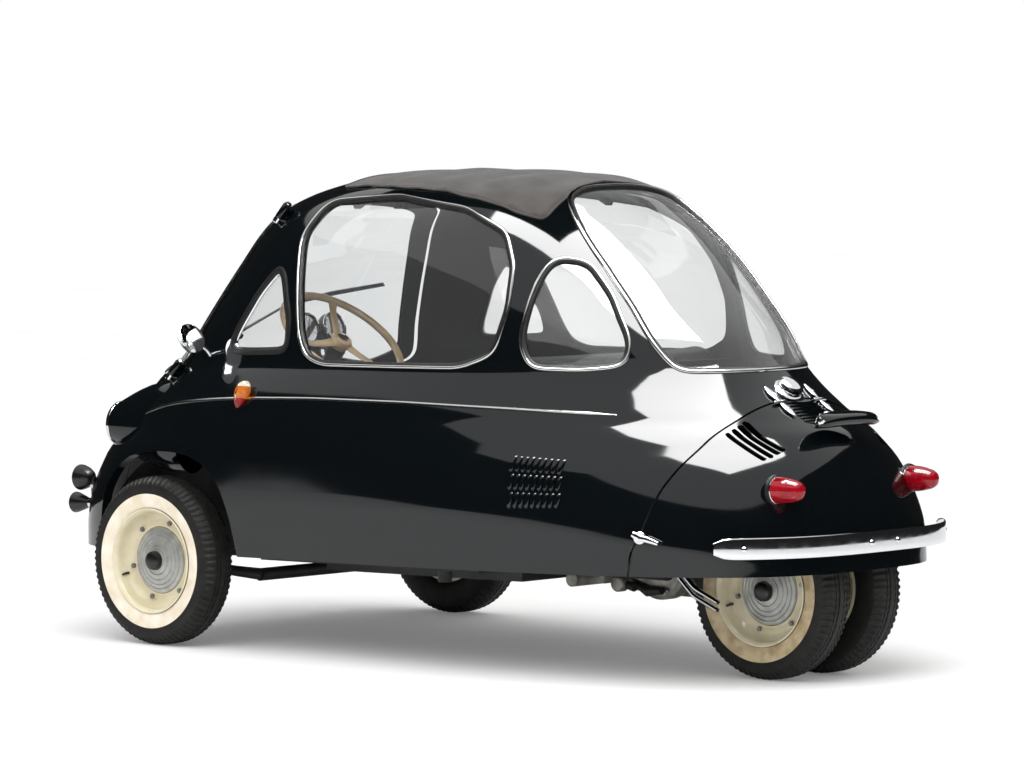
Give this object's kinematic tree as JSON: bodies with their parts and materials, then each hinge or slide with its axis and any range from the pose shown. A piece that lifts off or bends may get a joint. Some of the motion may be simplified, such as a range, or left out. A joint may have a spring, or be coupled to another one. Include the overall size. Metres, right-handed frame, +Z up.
{
  "type": "bubble car",
  "caption": "Small egg-shaped cabin car with a side-hinged front door, canvas roof panel, lift-up tail cover and close-set twin rear wheels.",
  "frame": {"origin": "on the ground, under the centre of the car's bounding box", "axes": "+X forward, +Y to the car's left, +Z up"},
  "size_m": [2.5504, 1.337, 1.3202],
  "materials": {
    "paint": "gloss black enamel",
    "underbody": "satin black chassis paint",
    "roof_cloth": "dark grey canvas",
    "pane": "clear",
    "chrome": "polished",
    "bench_cloth": "dark grey cloth",
    "trim_black": "gloss",
    "lamp_amber": "translucent",
    "lamp_red": "translucent",
    "alloy": "cast",
    "steel": "satin",
    "tyre": "treaded, with a pale side wall",
    "rim": "cream enamel",
    "ivory": "moulded"
  },
  "bodies": {
    "chassis": {"body_shell": "paint", "floor_pan": "underbody", "wheel_wells": "underbody", "roof_bows": "underbody", "fabric_roof": "roof_cloth", "side_windows": "pane", "quarter_windows": "pane", "vent_windows": "pane", "rear_window": "pane", "bulkhead": "underbody", "bench_frame": "underbody", "bench_cushion": "bench_cloth", "bench_backrest": "bench_cloth", "steering_column": "trim_black", "instrument_pod": "trim_black", "pedals": "trim_black", "gear_lever": "trim_black", "headlamps": "chrome", "indicators": "lamp_amber", "wing_mirror": "chrome", "horn": "trim_black", "fog_lamp": "trim_black", "fuel_cap": "chrome", "front_axle": "underbody", "swing_arm": "alloy", "engine_block": "alloy", "exhaust": "chrome", "door_hinge_pins": "chrome"},
    "front_door": {"door": "paint", "windscreen": "pane", "door_hinge_sleeves": "trim_black", "door_handle": "chrome", "wiper": "trim_black"},
    "tail_lid": {"tail_cover": "paint", "cover_hinges": "chrome", "cover_latches": "chrome", "bumper": "chrome", "tail_lamps": "lamp_red", "plate_hood": "paint"},
    "left_knuckle": {"knuckle_left": "underbody"},
    "right_knuckle": {"knuckle_right": "underbody"},
    "front_left_wheel": {"front_tyre_left": "tyre", "front_rim_left": "rim"},
    "front_right_wheel": {"front_tyre_right": "tyre", "front_rim_right": "rim"},
    "rear_wheels": {"rear_tyres": "tyre", "rear_rims": "rim", "rear_axle": "steel"},
    "steering_wheel": {"steering_wheel": "ivory"}
  },
  "joints": [
    {"name": "door_swing", "type": "hinge", "parent": "chassis", "child": "front_door", "pos_m": [0.84805, 0.496, 0.75623], "axis": [-0.532, -0.2378, 0.8127], "range_deg": [0, 80]},
    {"name": "tail_lid_lift", "type": "hinge", "parent": "chassis", "child": "tail_lid", "pos_m": [-0.99356, 0, 0.74679], "axis": [0, 1, 0], "range_deg": [0, 50]},
    {"name": "left_steer", "type": "hinge", "parent": "chassis", "child": "left_knuckle", "pos_m": [0.776, 0.525, 0.235], "axis": [0, 0, 1], "range_deg": [-28, 28]},
    {"name": "right_steer", "type": "hinge", "parent": "chassis", "child": "right_knuckle", "pos_m": [0.776, -0.525, 0.235], "axis": [0, 0, 1], "range_deg": [-28, 28]},
    {"name": "steering_wheel_turn", "type": "hinge", "parent": "chassis", "child": "steering_wheel", "pos_m": [0.43394, 0.25, 0.85092], "axis": [-0.6266, 0, 0.7793], "range_deg": [-336, 336]},
    {"name": "front_left_spin", "type": "hinge", "parent": "left_knuckle", "child": "front_left_wheel", "pos_m": [0.776, 0.6125, 0.235], "axis": [0, 1, 0], "continuous": true},
    {"name": "front_right_spin", "type": "hinge", "parent": "right_knuckle", "child": "front_right_wheel", "pos_m": [0.776, -0.6125, 0.235], "axis": [0, 1, 0], "continuous": true},
    {"name": "rear_spin", "type": "hinge", "parent": "chassis", "child": "rear_wheels", "pos_m": [-0.984, 0, 0.235], "axis": [0, 1, 0], "continuous": true}
  ],
  "couplings": [
    {"joint": "right_steer", "follows": "left_steer", "ratio": 1},
    {"joint": "steering_wheel_turn", "follows": "left_steer", "ratio": 12}
  ]
}
